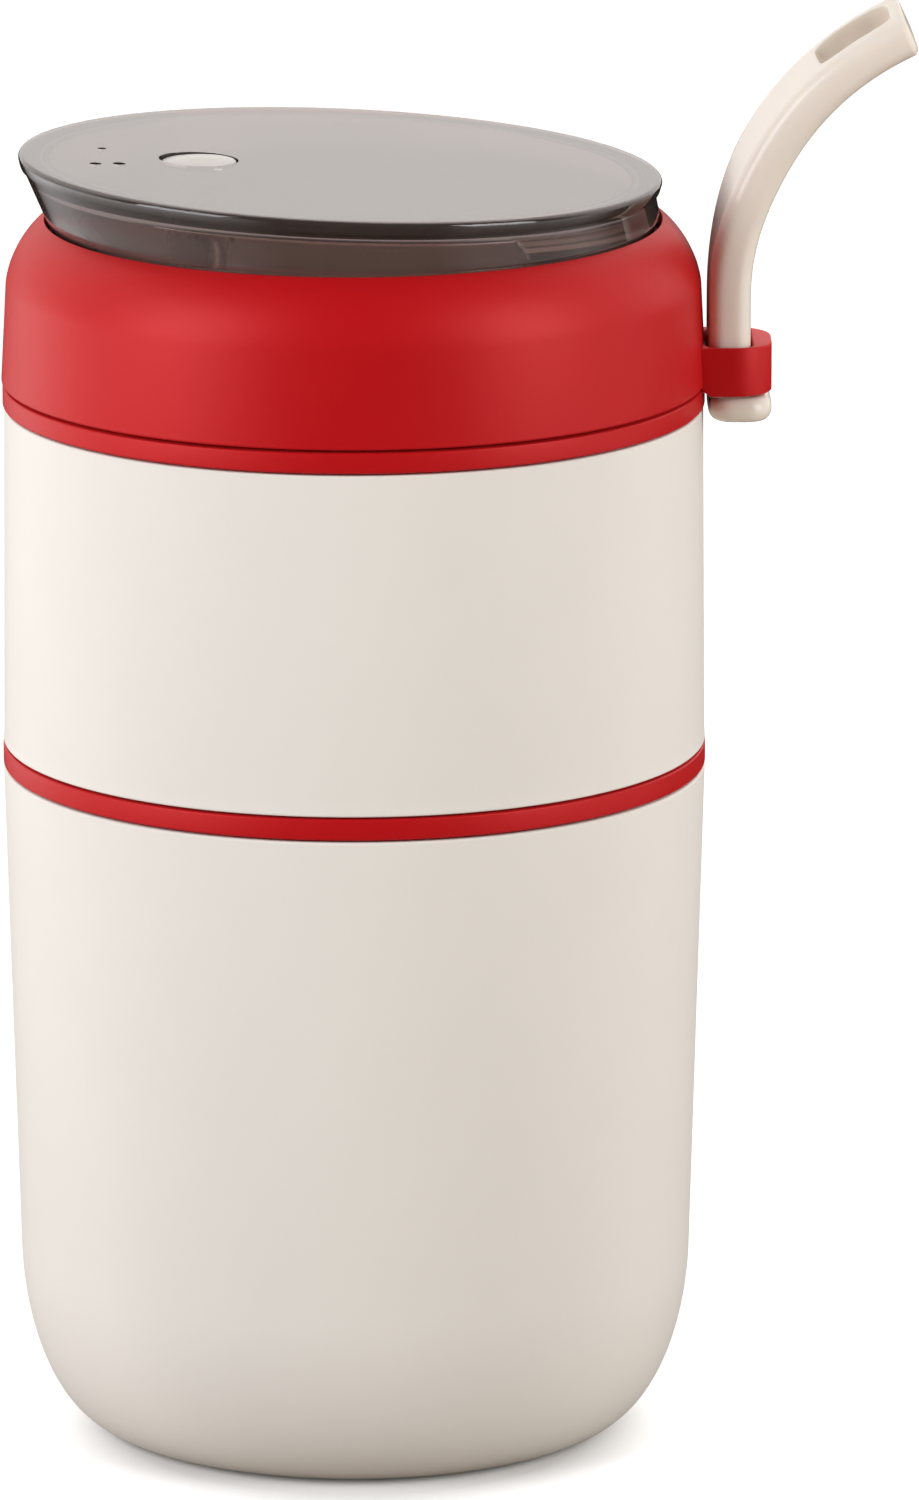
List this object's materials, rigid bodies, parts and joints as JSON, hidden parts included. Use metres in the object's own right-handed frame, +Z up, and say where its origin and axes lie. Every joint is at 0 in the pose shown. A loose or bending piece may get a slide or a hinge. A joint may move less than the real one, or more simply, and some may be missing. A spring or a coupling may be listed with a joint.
{
  "type": "insulated food cup",
  "caption": "Stacked insulated breakfast cup with a screw-on upper bowl, a screw lid, a tilted lift-off cover with a vent button, and a soft carry strap.",
  "frame": {"origin": "centre of the flat underside of the base pad, on the cup's own axis", "axes": "+Z up along the cup's axis, +X towards the strap, -Y towards the viewer of the picture"},
  "size_m": [0.1205, 0.0932, 0.1915],
  "materials": {
    "cream_coat": "cream satin coat on steel",
    "liner_steel": "brushed stainless steel",
    "red_plastic": "soft satin red",
    "white_plastic": "satin off-white",
    "clear_silicone": "milky silicone",
    "pad_silicone": "matt silicone",
    "strap_silicone": "smooth cream silicone",
    "smoky_plastic": "smoky see-through plastic",
    "button_plastic": "glossy off-white",
    "spring_steel": "bright spring wire"
  },
  "bodies": {
    "lower_cup": {"lower_shell": "cream_coat", "base_pad": "pad_silicone", "lower_liner": "liner_steel", "lower_neck_ring": "red_plastic"},
    "tier_seal": {"tier_gasket": "clear_silicone"},
    "upper_tier": {"upper_shell": "cream_coat", "upper_bowl": "liner_steel", "tier_screw_ring": "white_plastic", "upper_neck_ring": "red_plastic"},
    "lid_seal": {"lid_gasket": "clear_silicone"},
    "lid": {"lid_collar": "red_plastic", "lid_insert": "white_plastic", "cover_seal": "clear_silicone", "carry_strap": "strap_silicone", "valve_spring": "spring_steel"},
    "cover": {"lid_cover": "smoky_plastic"},
    "button": {"valve_button": "button_plastic", "valve_seal": "clear_silicone"}
  },
  "joints": [
    {"name": "tier_lift", "type": "slide", "parent": "lower_cup", "child": "tier_seal", "axis": [0, 0, 1], "range_m": [0, 0.012]},
    {"name": "tier_turn", "type": "hinge", "parent": "tier_seal", "child": "upper_tier", "pos_m": [0, 0, 0.106], "axis": [0, 0, 1], "range_deg": [0, 540]},
    {"name": "lid_lift", "type": "slide", "parent": "upper_tier", "child": "lid_seal", "axis": [0, 0, 1], "range_m": [0, 0.012]},
    {"name": "lid_turn", "type": "hinge", "parent": "lid_seal", "child": "lid", "pos_m": [0, 0, 0.1545], "axis": [0, 0, 1], "range_deg": [0, 540]},
    {"name": "cover_lift", "type": "slide", "parent": "lid", "child": "cover", "axis": [0, 0, 1], "range_m": [0, 0.03]},
    {"name": "button_press", "type": "slide", "parent": "lid", "child": "button", "axis": [0, 0, -1], "range_m": [0, 0.0025], "stiffness_N_per_m": 600, "springref_m": -0.002, "deforming": ["valve_spring"]}
  ],
  "couplings": [
    {"joint": "tier_lift", "follows": "tier_turn", "m_per_rad": 0.001273},
    {"joint": "lid_lift", "follows": "lid_turn", "m_per_rad": 0.001273}
  ]
}
